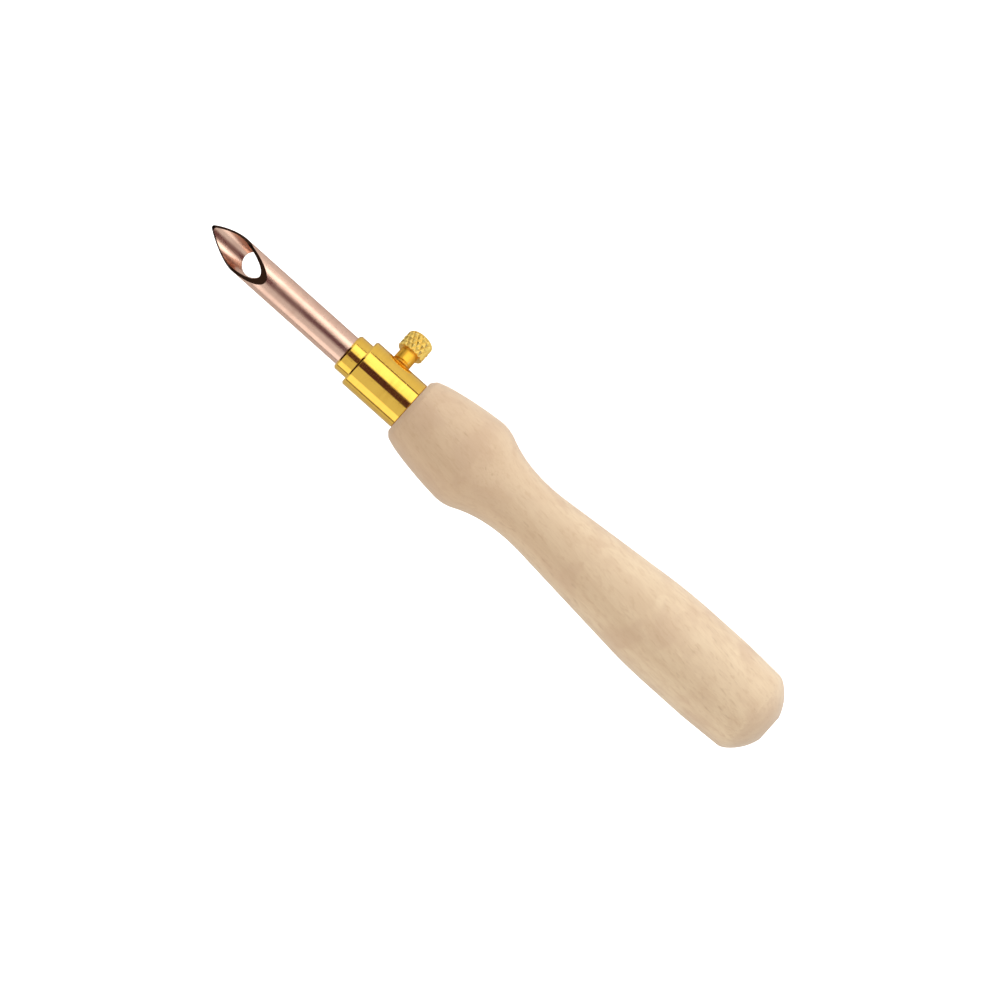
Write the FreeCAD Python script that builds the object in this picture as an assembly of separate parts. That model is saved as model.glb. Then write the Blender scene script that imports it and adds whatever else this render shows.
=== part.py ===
"""Punch needle: turned wooden handle, brass ferrule, adjustable hollow needle and knurled clamp screw.

Millimetres. The tool's axis is X. The needle points to -X and leaves the ferrule at the origin.
The handle runs to +X. Z is up: the tool lies on its side, on the handle's bulb and the screw head's rim.
"""
import FreeCAD, Part
import math
import os

Vec = FreeCAD.Vector
ORIGIN = Vec(0, 0, 0)
X_AXIS = Vec(1, 0, 0)
Y_AXIS = Vec(0, 1, 0)
Z_AXIS = Vec(0, 0, 1)

# Needle tube
needle_od = 6.9
needle_wall = 0.55
needle_bare = 36.8
needle_inside = 41.2
needle_mouth_chamfer = 0.25

# Needle point, measured back from the tip
bevel_length = 15.4
bevel_crown = 0.4
tip_thickness = 0.2
tip_half_width = 0.42
tip_round_depth = 0.17
facet_plan_angle = 38.7
facet_slope_angle = 41.0
eye_from_tip = 11.6
eye_inset = 0.3
eye_chamfer = 0.12

# Ferrule
nose_wall = 0.75
nose_length = 3.3
nose_chamfer = 0.4
barrel_step = 1.25
barrel_length = 13.4
barrel_chamfer = 0.35
barrel_rear_chamfer = 0.15
tang_wall = 1.0
tang_length = 12.0
tang_chamfer = 0.4

# Clamp screw
screw_from_nose = 9.7
screw_shank_diameter = 4.0
screw_point_diameter = 2.8
screw_point_chamfer = 0.6
screw_head_diameter = 6.0
screw_stem_bare = 2.9
screw_head_height = 4.3
screw_head_chamfer = 0.25
screw_rim_round = 1.2
knurl_count = 16
knurl_pitch = 2.1
knurl_depth = 0.3
hole_countersink = 0.3

# Handle: the outline's front stations are measured from the front face, the others from the rear end
handle_length = 97.0
front_radius = 7.45
front_chamfer_length = 1.0
front_chamfer_depth = 1.1
fore_at = 4.6
fore_radius = 8.52
bulb_at = 16.3
bulb_radius = 10.1
bulb_crest_round = 9.0
bulb_front_angle = 4.5
bulb_rear_angle = 24.7
neck_at = 32.0
neck_radius = 6.85
neck_run = 4.4
grip_radius = 7.06
swell_radius = 9.38
swell_run = 10.0
crown_radius = 9.8
crown_length = 10.0
tail_length = 15.0
tail_radius = 9.4
tail_round_length = 0.9
tail_round_depth = 0.6
dome_height = 5.45
needle_bore_depth = 45.0
yarn_channel_diameter = 4.5
yarn_lip_chamfer = 0.5

# Clearances
slide_clearance = 0.05
thread_clearance = 0.05
point_clearance = 0.02
tang_clearance = 0.03
tang_end_gap = 0.4
needle_bore_clearance = 0.35

# Turn of the bevel away from the plane that holds the tool's axis and the clamp screw
bevel_from_screw = 122.0

# Sizes that follow
needle_radius = needle_od / 2
needle_bore_radius = needle_radius - needle_wall
eye_radius = needle_bore_radius - eye_inset
ferrule_bore_radius = needle_radius + slide_clearance
nose_radius = ferrule_bore_radius + nose_wall
barrel_radius = nose_radius + barrel_step
tang_radius = ferrule_bore_radius + tang_wall
handle_front = nose_length + barrel_length
shank_radius = screw_shank_diameter / 2
head_radius = screw_head_diameter / 2
head_seat = barrel_radius + screw_stem_bare
head_end = head_seat + screw_head_height
channel_radius = yarn_channel_diameter / 2


def rim_corner():
    """Radius and height of the middle corner of the screw head's rim, a round cut as two chamfers."""
    share = 1 - math.sqrt(0.5)
    return (head_radius - share * screw_rim_round, head_end - share * screw_rim_round)


def screw_droop():
    """Degrees that the clamp screw points below the horizontal when its rim and the bulb share a floor."""
    across, out = rim_corner()
    return math.degrees(math.asin(bulb_radius / math.hypot(out, across)) - math.atan2(across, out))


def line(start, end):
    """Straight edge between two points of an outline, x first and then y."""
    return Part.makeLine(Vec(start[0], start[1], 0), Vec(end[0], end[1], 0))


def polyline(points):
    """Straight edges along a list of (x, y) points."""
    return [line(a, b) for a, b in zip(points, points[1:])]


def arc(start, middle, end):
    """Round edge through three (x, y) points."""
    return Part.Arc(*(Vec(p[0], p[1], 0) for p in (start, middle, end))).toShape()


def turned(edges):
    """Solid turned about X from the closed outline of edges, with y as the radius."""
    face = Part.Face(Part.Wire(Part.__sortEdges__(edges)))
    return face.revolve(ORIGIN, X_AXIS, 360)


def heading(degrees):
    """Unit direction in the outline's plane, positive when the radius grows towards +X."""
    angle = math.radians(degrees)
    return Vec(math.cos(angle), math.sin(angle), 0)


def leaving_arc(start, direction, end):
    """Arc that leaves the point start along direction and ends at the point end."""
    chord = end - start
    along = chord.dot(direction)
    aside = chord - direction * along
    half_turn = math.atan2(aside.Length, along)
    bow = chord.Length / 2 * math.tan(half_turn / 2)
    outward = (direction - chord * (along / chord.Length**2)).normalize()
    return Part.Arc(start, (start + end) * 0.5 + outward * bow, end).toShape()


def double_arc(start, start_heading, end, end_heading):
    """Two arcs that meet smoothly and keep the headings at both ends."""
    leave, arrive = heading(start_heading), heading(end_heading)
    chord = end - start
    pull = chord.dot(leave + arrive)
    spread = 2 * (1 - leave.dot(arrive))
    reach = (math.sqrt(pull**2 + spread * chord.Length**2) - pull) / spread
    joint = (start + end + (leave - arrive) * reach) * 0.5
    return [leaving_arc(start, leave, joint), leaving_arc(end, arrive * -1, joint)]


def crest_point(degrees):
    """Point of the bulb's crest where the outline has this heading."""
    centre = Vec(bulb_at, bulb_radius - bulb_crest_round, 0)
    return centre + Vec(0, 0, 1).cross(heading(degrees)) * bulb_crest_round


def bulb_edges():
    """Outline of the handle from the front face over the bulb to the neck."""
    front = Vec(front_chamfer_length, front_radius, 0)
    fore = Vec(fore_at, fore_radius, 0)
    rise, top, fall = crest_point(bulb_front_angle), crest_point(0), crest_point(-bulb_rear_angle)
    neck = Vec(neck_at, neck_radius, 0)
    flank = rise - fore
    fore_heading = 2 * math.degrees(math.atan2(flank.y, flank.x)) - bulb_front_angle
    edges = [
        line((0, front_radius - front_chamfer_depth), front),
        leaving_arc(fore, heading(fore_heading) * -1, front),
        leaving_arc(rise, heading(bulb_front_angle) * -1, fore),
        Part.Arc(rise, top, fall).toShape(),
    ]
    return edges + double_arc(fall, -bulb_rear_angle, neck, 0)


def grip_edges():
    """Outline of the handle from the neck over the swell to the end of the tail."""
    neck = Vec(neck_at, neck_radius, 0)
    grip = Vec(neck_at + neck_run, grip_radius, 0)
    crown_end = Vec(handle_length - tail_length, crown_radius, 0)
    crown = crown_end - X_AXIS * crown_length
    swell = Vec(crown.x - swell_run, swell_radius, 0)
    tail = Vec(handle_length - dome_height - tail_round_length, tail_radius, 0)
    return [
        leaving_arc(neck, X_AXIS, grip),
        line(grip, swell),
        leaving_arc(crown, X_AXIS * -1, swell),
        line(crown, crown_end),
        line(crown_end, tail),
    ]


def dome_edges():
    """Outline of the handle's domed rear end, from the tail to the yarn channel."""
    radius = (tail_radius**2 + dome_height**2) / (2 * dome_height)
    centre = handle_length - radius

    def on_dome(height):
        return Vec(centre + math.sqrt(radius**2 - height**2), height, 0)

    tail = Vec(handle_length - dome_height - tail_round_length, tail_radius, 0)
    shoulder = on_dome(tail_radius - tail_round_depth)
    middle = on_dome((tail_radius + channel_radius) / 2)
    lip = on_dome(channel_radius + yarn_lip_chamfer)
    mouth = Vec(lip.x - yarn_lip_chamfer, channel_radius, 0)
    return [
        leaving_arc(tail, X_AXIS, shoulder),
        Part.Arc(shoulder, middle, lip).toShape(),
        line(lip, mouth),
        line(mouth, (needle_bore_depth, channel_radius)),
    ]


def make_handle():
    """Turned handle with its counterbore, needle bore and yarn channel."""
    counterbore_radius = tang_radius + tang_clearance
    counterbore_depth = tang_length + tang_end_gap
    needle_clear_radius = needle_radius + needle_bore_clearance
    bores = polyline([
        (needle_bore_depth, channel_radius),
        (needle_bore_depth, needle_clear_radius),
        (counterbore_depth, needle_clear_radius),
        (counterbore_depth, counterbore_radius),
        (0, counterbore_radius),
        (0, front_radius - front_chamfer_depth),
    ])
    handle = turned(bulb_edges() + grip_edges() + dome_edges() + bores)
    handle.translate(X_AXIS * handle_front)
    return handle


def make_ferrule():
    """Turned ferrule: nose, barrel and tang, bored for the needle and cross-drilled for the clamp screw."""
    tang_end = handle_front + tang_length
    ferrule = turned(polyline([
        (0, ferrule_bore_radius),
        (0, nose_radius - nose_chamfer),
        (nose_chamfer, nose_radius),
        (nose_length, nose_radius),
        (nose_length, barrel_radius - barrel_chamfer),
        (nose_length + barrel_chamfer, barrel_radius),
        (handle_front - barrel_rear_chamfer, barrel_radius),
        (handle_front, barrel_radius - barrel_rear_chamfer),
        (handle_front, tang_radius),
        (tang_end - tang_chamfer, tang_radius),
        (tang_end, tang_radius - tang_chamfer),
        (tang_end, ferrule_bore_radius),
        (0, ferrule_bore_radius),
    ]))
    hole_radius = shank_radius + thread_clearance
    hole = Part.makeCylinder(hole_radius, 2 * barrel_radius)
    sink_base = math.sqrt(barrel_radius**2 - hole_radius**2) - hole_countersink
    sink = Part.makeCone(hole_radius, hole_radius + barrel_radius, barrel_radius, Vec(0, 0, sink_base))
    return ferrule.cut(place_on_screw_axis(hole.fuse(sink)))


def bevel_cutter():
    """Block above the crowned bevel, for a needle with its tip at x = 0 and its bevel facing +Z."""
    tip = Vec(0, -needle_radius + tip_thickness, 0)
    heel = Vec(bevel_length, needle_radius, 0)
    chord = heel - tip
    radius = (chord.Length**2 / 4 + bevel_crown**2) / (2 * bevel_crown)
    outward = Vec(-chord.y, chord.x, 0).normalize()
    centre = (tip + heel) * 0.5 - outward * (radius - bevel_crown)
    middle_angle = math.atan2(outward.y, outward.x)
    half_angle = 1.15 * math.asin(chord.Length / 2 / radius)

    def on_crown(share):
        angle = middle_angle + share * half_angle
        return (centre.x + radius * math.cos(angle), centre.y + radius * math.sin(angle))

    low, middle, high = on_crown(1), on_crown(0), on_crown(-1)
    top = needle_od
    edges = [arc(low, middle, high)]
    edges += polyline([high, (high[0], top), (low[0], top), low])
    face = Part.Face(Part.Wire(Part.__sortEdges__(edges)))
    face.rotate(ORIGIN, X_AXIS, 90)
    face.translate(Y_AXIS * needle_od)
    return face.extrude(Y_AXIS * (-2 * needle_od))


def tip_column():
    """Column whose plan rounds the very tip of the needle, seen square to its bevel."""
    side = needle_od
    rear = needle_bare + needle_inside + needle_od
    edges = [arc((tip_round_depth, -tip_half_width), (0, 0), (tip_round_depth, tip_half_width))]
    edges += polyline([
        (tip_round_depth, tip_half_width),
        (tip_round_depth, side),
        (rear, side),
        (rear, -side),
        (tip_round_depth, -side),
        (tip_round_depth, -tip_half_width),
    ])
    face = Part.Face(Part.Wire(Part.__sortEdges__(edges)))
    face.translate(Z_AXIS * (-needle_od))
    return face.extrude(Z_AXIS * (2 * needle_od))


def side_facet(side):
    """Block outside one of the two flat side facets that bring the end of the needle to a point."""
    start = 0.97 * tip_half_width
    root = Vec(tip_round_depth, side * start, -math.sqrt(needle_radius**2 - start**2))
    plan = 1 / math.tan(math.radians(facet_plan_angle))
    slope = 1 / math.tan(math.radians(facet_slope_angle))
    outward = Vec(-1, side * plan, slope)
    half = bevel_length + needle_od
    block = Part.makeBox(2 * half, 2 * half, half, Vec(-half, -half, 0))
    block.Placement = FreeCAD.Placement(root, FreeCAD.Rotation(Z_AXIS, outward))
    return block


def eye_edges(needle):
    """Both rims of the eye, which are the edges of its round wall."""
    rims = []
    for face in needle.Faces:
        if isinstance(face.Surface, Part.Cylinder) and abs(face.Surface.Axis.dot(Z_AXIS)) > 0.999:
            if abs(face.Surface.Center.x - eye_from_tip) < 1e-4:
                rims += [edge for edge in face.Edges if edge.isClosed()]
    return rims


def make_needle():
    """Hollow needle: tube ground to a crowned bevel and two side facets, with the eye in the opposite wall."""
    length = needle_bare + needle_inside
    tube = turned(polyline([
        (0, needle_bore_radius),
        (0, needle_radius),
        (length, needle_radius),
        (length, needle_bore_radius + needle_mouth_chamfer),
        (length - needle_mouth_chamfer, needle_bore_radius),
        (0, needle_bore_radius),
    ]))
    needle = tube.common(tip_column()).cut(bevel_cutter())
    for side in (-1, 1):
        needle = needle.cut(side_facet(side))
    eye = Part.makeCylinder(eye_radius, needle_od, Vec(eye_from_tip, 0, 0), Z_AXIS * -1)
    needle = needle.cut(eye)
    needle = needle.makeChamfer(eye_chamfer, eye_edges(needle))
    needle.rotate(ORIGIN, X_AXIS, bevel_from_screw - screw_droop() - 90)
    needle.translate(X_AXIS * -needle_bare)
    return needle


def knurled_column():
    """Faceted column of diamond knurling about Z, a row taller than the screw's head at each end."""
    valley_radius = head_radius - knurl_depth
    half_step = math.pi / knurl_count
    half_pitch = knurl_pitch / 2
    rows = 2 * math.ceil(screw_head_height / knurl_pitch / 2 + 1)
    base = head_seat + screw_head_height / 2 - rows * half_pitch / 2

    def corner(step, row):
        radius = head_radius if (step + row) % 2 else valley_radius
        angle = step * half_step
        return Vec(radius * math.cos(angle), radius * math.sin(angle), base + row * half_pitch)

    faces = []
    for row in range(rows):
        for step in range(2 * knurl_count):
            low, low_next = corner(step, row), corner(step + 1, row)
            high, high_next = corner(step, row + 1), corner(step + 1, row + 1)
            if (step + row) % 2:
                triangles = ((low, low_next, high), (low_next, high_next, high))
            else:
                triangles = ((low, low_next, high_next), (low, high_next, high))
            for a, b, c in triangles:
                faces.append(Part.Face(Part.makePolygon([a, b, c, a])))
    for row in (0, rows):
        ring = [corner(step, row) for step in range(2 * knurl_count + 1)]
        faces.append(Part.Face(Part.makePolygon(ring)))
    return Part.Solid(Part.makeShell(faces))


def turned_on_z(points):
    """Solid turned about Z from a closed outline of (radius, z) points."""
    outline = Part.makePolygon([Vec(r, 0, z) for r, z in points + points[:1]])
    return Part.Face(outline).revolve(ORIGIN, Z_AXIS, 360)


def make_clamp_screw():
    """Thumb screw with a knurled, round-rimmed head and a short point that presses on the needle."""
    clear = head_radius + knurl_depth
    across, out = rim_corner()
    blank = turned_on_z([
        (0, head_seat),
        (head_radius - screw_head_chamfer, head_seat),
        (clear, head_seat + screw_head_chamfer + knurl_depth),
        (clear, head_end - screw_rim_round - knurl_depth * (head_end - out) / (head_radius - across)),
        (across, out),
        (head_radius - screw_rim_round, head_end),
        (0, head_end),
    ])
    head = blank.common(knurled_column())
    point_radius = screw_point_diameter / 2
    point_at = needle_radius + point_clearance
    shank = turned_on_z([
        (0, point_at),
        (point_radius, point_at),
        (shank_radius, point_at + screw_point_chamfer),
        (shank_radius, head_seat + screw_head_chamfer),
        (0, head_seat + screw_head_chamfer),
    ])
    return place_on_screw_axis(head.fuse(shank))


def place_on_screw_axis(shape):
    """Turn a shape built along +Z onto the clamp screw's axis, drooping to the +Y side."""
    shape.rotate(ORIGIN, X_AXIS, -(90 + screw_droop()))
    shape.translate(X_AXIS * screw_from_nose)
    return shape


def main():
    """Build each piece and write it to its own file."""
    os.makedirs("parts", exist_ok=True)
    pieces = {
        "handle": make_handle(),
        "ferrule": make_ferrule(),
        "needle": make_needle(),
        "clamp_screw": make_clamp_screw(),
    }
    for name, shape in pieces.items():
        shape.exportStep(f"parts/{name}.step")


main()
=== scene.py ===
"""Punch needle on a pale table: turned wooden handle, brass ferrule, rose-gold needle and clamp screw.

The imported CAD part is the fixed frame, in metres, with the tool's axis on X and the floor below it in -Z.
The sizes of the pieces and of the picture are in millimetres and become metres where they are used. The
studio's other lengths are in metres.
"""

import logging
import math
from collections.abc import Callable, Iterable, Sequence
from dataclasses import dataclass, field
from enum import Enum

import bmesh
import bpy
from mathutils import Matrix, Vector
from mathutils.geometry import delaunay_2d_cdt


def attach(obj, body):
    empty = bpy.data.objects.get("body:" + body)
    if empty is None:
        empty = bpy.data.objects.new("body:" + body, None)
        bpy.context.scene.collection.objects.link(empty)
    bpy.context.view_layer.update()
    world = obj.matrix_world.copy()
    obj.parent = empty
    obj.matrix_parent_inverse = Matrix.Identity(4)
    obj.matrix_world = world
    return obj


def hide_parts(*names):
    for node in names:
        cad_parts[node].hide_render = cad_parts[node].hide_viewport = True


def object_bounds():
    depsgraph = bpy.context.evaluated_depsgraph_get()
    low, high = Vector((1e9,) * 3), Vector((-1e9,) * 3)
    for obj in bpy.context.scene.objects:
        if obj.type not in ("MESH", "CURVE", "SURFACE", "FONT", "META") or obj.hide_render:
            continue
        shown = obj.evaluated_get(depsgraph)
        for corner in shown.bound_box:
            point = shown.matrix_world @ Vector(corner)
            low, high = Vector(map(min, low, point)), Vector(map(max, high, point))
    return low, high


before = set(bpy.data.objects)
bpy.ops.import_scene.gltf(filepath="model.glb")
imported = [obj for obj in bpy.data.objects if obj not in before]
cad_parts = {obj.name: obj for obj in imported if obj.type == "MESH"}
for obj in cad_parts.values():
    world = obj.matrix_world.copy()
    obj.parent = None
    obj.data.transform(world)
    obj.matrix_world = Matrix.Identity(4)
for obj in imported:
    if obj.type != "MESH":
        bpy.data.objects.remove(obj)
CAD_BOX = [[float(value) for value in corner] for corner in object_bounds()]
LOG = logging.getLogger("punch_needle")
MM = 0.001
X_AXIS = Vector((1, 0, 0))
Z_AXIS = Vector((0, 0, 1))
SCREW_DROOP = 40.998
CAMERA_TILT = 20.98
Colour = tuple[float, float, float]
Triple = tuple[float, float, float]
Pair = tuple[float, float]
Node = bpy.types.Node
Socket = bpy.types.NodeSocket
Tree = bpy.types.NodeTree
Piece = bpy.types.Object
Material = bpy.types.Material


class Slot(Enum):
    """Material slots of the record that the pieces take their finish from."""

    WOOD = "wood"
    ROSE = "rose_metal"
    SCREW = "screw_brass"


class LampUse(Enum):
    """What a lamp is for: a softbox that polished metal shows, or an unseen light on the matt surfaces."""

    MIRRORED = "mirrored"
    MATT = "matt"


class Body(Enum):
    """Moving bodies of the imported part."""

    HANDLE = "handle"
    NEEDLE = "needle"
    CLAMP_SCREW = "clamp_screw"


# Shader building


class Shader:
    """Places and links the nodes of one material or one node group."""

    def __init__(self, tree: Tree) -> None:
        """Keep the tree that nodes are placed in.

        Args:
            tree: The node tree of a material or of a group.
        """
        self.tree = tree

    def put(self, value: object, socket: Socket) -> None:
        """Link an output to an input socket, or set the input to a value.

        Args:
            value: An output socket, or the value itself.
            socket: The input socket.
        """
        if isinstance(value, Socket):
            self.tree.links.new(value, socket)
        else:
            socket.default_value = value

    def feed(self, node: Node, **inputs: object) -> None:
        """Set or link inputs of a node, named by their words joined with an underscore."""
        for name, value in inputs.items():
            self.put(value, node.inputs[name.replace("_", " ")])

    def node(self, kind: str, inputs: dict[str | int, object] | None = None, **settings: object) -> Node:
        """Add one node, set its options, and set or link its inputs.

        Args:
            kind: Blender's type name of the node.
            inputs: Values or output sockets, by the name or number of the input.
            **settings: Options of the node itself.

        Returns:
            The new node.
        """
        made = self.tree.nodes.new(kind)
        for name, value in settings.items():
            setattr(made, name, value)
        for key, value in (inputs or {}).items():
            self.put(value, made.inputs[key])
        return made

    def math(self, operation: str, *values: object) -> Socket:
        """Result of a Math node on these values or sockets."""
        return self.node("ShaderNodeMath", dict(enumerate(values)), operation=operation).outputs[0]

    def dot(self, first: object, second: object) -> Socket:
        """Dot product of two vectors."""
        made = self.node("ShaderNodeVectorMath", {0: first, 1: second}, operation="DOT_PRODUCT")
        return made.outputs["Value"]

    def scaled(self, place: Socket, factors: object) -> Socket:
        """Place, multiplied by a factor along each axis."""
        made = self.node("ShaderNodeVectorMath", {0: place, 1: factors}, operation="MULTIPLY")
        return made.outputs["Vector"]

    def blend(self, factor: object, first: object, second: object, mode: str = "MIX") -> Socket:
        """Colour output of a Mix node between two colours.

        Args:
            factor: Share of the second colour, a socket or a number.
            first: The colour at 0, a socket or a colour.
            second: The colour at 1, a socket or a colour.
            mode: Blender's name of the way of mixing.

        Returns:
            The mixed colour's socket.
        """
        made = self.node("ShaderNodeMix", {0: factor}, data_type="RGBA", blend_type=mode, clamp_factor=True)
        for number, colour in ((6, first), (7, second)):
            self.put(colour if isinstance(colour, Socket) else (*colour, 1.0), made.inputs[number])
        return made.outputs[2]

    def remap(
        self, value: object, low: object, high: object, to_low: float = 0.0, to_high: float = 1.0
    ) -> Socket:
        """Smooth step of a value from one range to another.

        Args:
            value: The socket or number that is mapped.
            low: Start of the range that is read.
            high: End of the range that is read.
            to_low: What low becomes.
            to_high: What high becomes.

        Returns:
            The mapped value's socket.
        """
        inputs = {"Value": value, "From Min": low, "From Max": high, "To Min": to_low, "To Max": to_high}
        return self.node("ShaderNodeMapRange", inputs, interpolation_type="SMOOTHSTEP").outputs[0]

    def noise(
        self,
        place: object,
        scale: object,
        detail: float = 3.0,
        roughness: float = 0.5,
        distortion: float = 0.0,
    ) -> Socket:
        """Value of a three-dimensional noise at a place.

        Args:
            place: Coordinates socket.
            scale: Bumps to a metre.
            detail: How many finer layers are added.
            roughness: How strong the finer layers are.
            distortion: How far the pattern is pulled about.

        Returns:
            The noise value's socket, around 0.5.
        """
        inputs = {"Vector": place, "Scale": scale, "Detail": detail}
        inputs |= {"Roughness": roughness, "Distortion": distortion}
        return self.node("ShaderNodeTexNoise", inputs).outputs["Fac"]

    def noise_along(self, count: Socket, detail: float) -> Socket:
        """Value of a noise that changes with one number only, a bump to each whole number."""
        inputs = {"W": count, "Scale": 1.0, "Detail": detail}
        return self.node("ShaderNodeTexNoise", inputs, noise_dimensions="1D").outputs["Fac"]

    def group(self, tree: Tree, **inputs: object) -> Node:
        """Place a node group, and set or link its inputs.

        Args:
            tree: The node group.
            **inputs: Values or output sockets, by the words of the input's name.

        Returns:
            The group's node.
        """
        made = self.node("ShaderNodeGroup", node_tree=tree)
        self.feed(made, **inputs)
        return made


def new_group(
    name: str, inputs: dict[str, float | Colour | None], outputs: Sequence[str]
) -> tuple[Shader, Node, Node]:
    """Start a shader node group with named sockets.

    Args:
        name: Name of the group.
        inputs: First value of each input by its name: a number, a vector, or None for a vector without one.
        outputs: Names of the outputs, all of them numbers.

    Returns:
        The shader that fills the group, its input node and its output node.
    """
    tree = bpy.data.node_groups.new(name, "ShaderNodeTree")
    for title, value in inputs.items():
        kind = "NodeSocketFloat" if isinstance(value, float) else "NodeSocketVector"
        socket = tree.interface.new_socket(title, in_out="INPUT", socket_type=kind)
        if value is not None:
            socket.default_value = value
    for title in outputs:
        tree.interface.new_socket(title, in_out="OUTPUT", socket_type="NodeSocketFloat")
    return Shader(tree), tree.nodes.new("NodeGroupInput"), tree.nodes.new("NodeGroupOutput")


@dataclass
class SurfaceEffects:
    """Effects that several finishes share, each a node group that is built once."""

    turning: Tree = field(init=False)
    handling: Tree = field(init=False)
    scratches: Tree = field(init=False)
    wear: Tree = field(init=False)
    slow_rings: float = 0.07
    haze_range: Pair = (0.38, 0.66)
    line_range: Pair = (0.6, 0.72)
    cluster_scale: float = 260.0
    cluster_range: Pair = (0.45, 0.6)
    patch_scale: float = 700.0
    patch_spread: float = 0.1

    def __post_init__(self) -> None:
        """Build the four groups."""
        self.turning = self.build_turning()
        self.handling = self.build_handling()
        self.scratches = self.build_scratches()
        self.wear = self.build_wear()

    def build_turning(self) -> Tree:
        """Fine rings that the lathe tool leaves round an axis.

        Returns:
            A group with the height of the rings and a slow tone along the axis.
        """
        inputs = {"Place": None, "Axis": (1.0, 0.0, 0.0), "Rings": 4000.0}
        shader, source, result = new_group("turning_rings", inputs, ["Height", "Tone"])
        along = shader.dot(source.outputs["Place"], source.outputs["Axis"])
        count = shader.math("MULTIPLY", along, source.outputs["Rings"])
        slow_count = shader.math("MULTIPLY", count, self.slow_rings)
        shader.feed(result, Height=shader.noise_along(count, 4.0), Tone=shader.noise_along(slow_count, 2.0))
        return shader.tree

    def build_handling(self) -> Tree:
        """Cloudy haze that fingers leave on a surface.

        Returns:
            A group with the haze as a mask and a roughness between two values.
        """
        inputs = {"Place": None, "Size": 120.0, "Clean": 0.1, "Hazy": 0.2}
        shader, source, result = new_group("handling_haze", inputs, ["Mask", "Roughness"])
        cloud = shader.noise(source.outputs["Place"], source.outputs["Size"], 4.0, 0.6, 0.4)
        mask = shader.remap(cloud, *self.haze_range)
        spread = shader.math("SUBTRACT", source.outputs["Hazy"], source.outputs["Clean"])
        rough = shader.math("MULTIPLY_ADD", mask, spread, source.outputs["Clean"])
        shader.feed(result, Mask=mask, Roughness=rough)
        return shader.tree

    def build_scratches(self) -> Tree:
        """Sparse hairlines along a stretch direction.

        Returns:
            A group with the hairlines as a mask.
        """
        inputs = {"Place": None, "Stretch": (1.0, 1.0, 1.0), "Density": 900.0}
        shader, source, result = new_group("hairline_scratches", inputs, ["Mask"])
        stretched = shader.scaled(source.outputs["Place"], source.outputs["Stretch"])
        hairs = shader.noise(stretched, source.outputs["Density"], 5.0, 0.7, 0.6)
        lines = shader.remap(hairs, *self.line_range)
        clusters = shader.noise(source.outputs["Place"], self.cluster_scale, 2.0)
        shader.feed(result, Mask=shader.math("MULTIPLY", lines, shader.remap(clusters, *self.cluster_range)))
        return shader.tree

    def build_wear(self) -> Tree:
        """Rubbed edges, strongest on the sharpest ones.

        Returns:
            A group with the wear as a mask.
        """
        inputs = {"Place": None, "Sharpness": 0.5, "Start": 0.52, "End": 0.62}
        shader, source, result = new_group("rubbed_edges", inputs, ["Mask"])
        patches = shader.noise(source.outputs["Place"], self.patch_scale, 3.0)
        uneven = shader.math("MULTIPLY_ADD", patches, self.patch_spread, -self.patch_spread / 2)
        sharp = shader.math("ADD", source.outputs["Sharpness"], uneven)
        shader.feed(result, Mask=shader.remap(sharp, source.outputs["Start"], source.outputs["End"]))
        return shader.tree


def new_material(name: str) -> tuple[Material, Shader, Node, Socket]:
    """Start a material with its Principled shader.

    Args:
        name: Name of the material.

    Returns:
        The material, its shader tree, the Principled node and the place on the piece.
    """
    material = bpy.data.materials.new(name)
    material.use_nodes = True
    shader = Shader(material.node_tree)
    principled = material.node_tree.nodes["Principled BSDF"]
    place = shader.node("ShaderNodeTexCoord").outputs["Object"]
    return material, shader, principled, place


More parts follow.
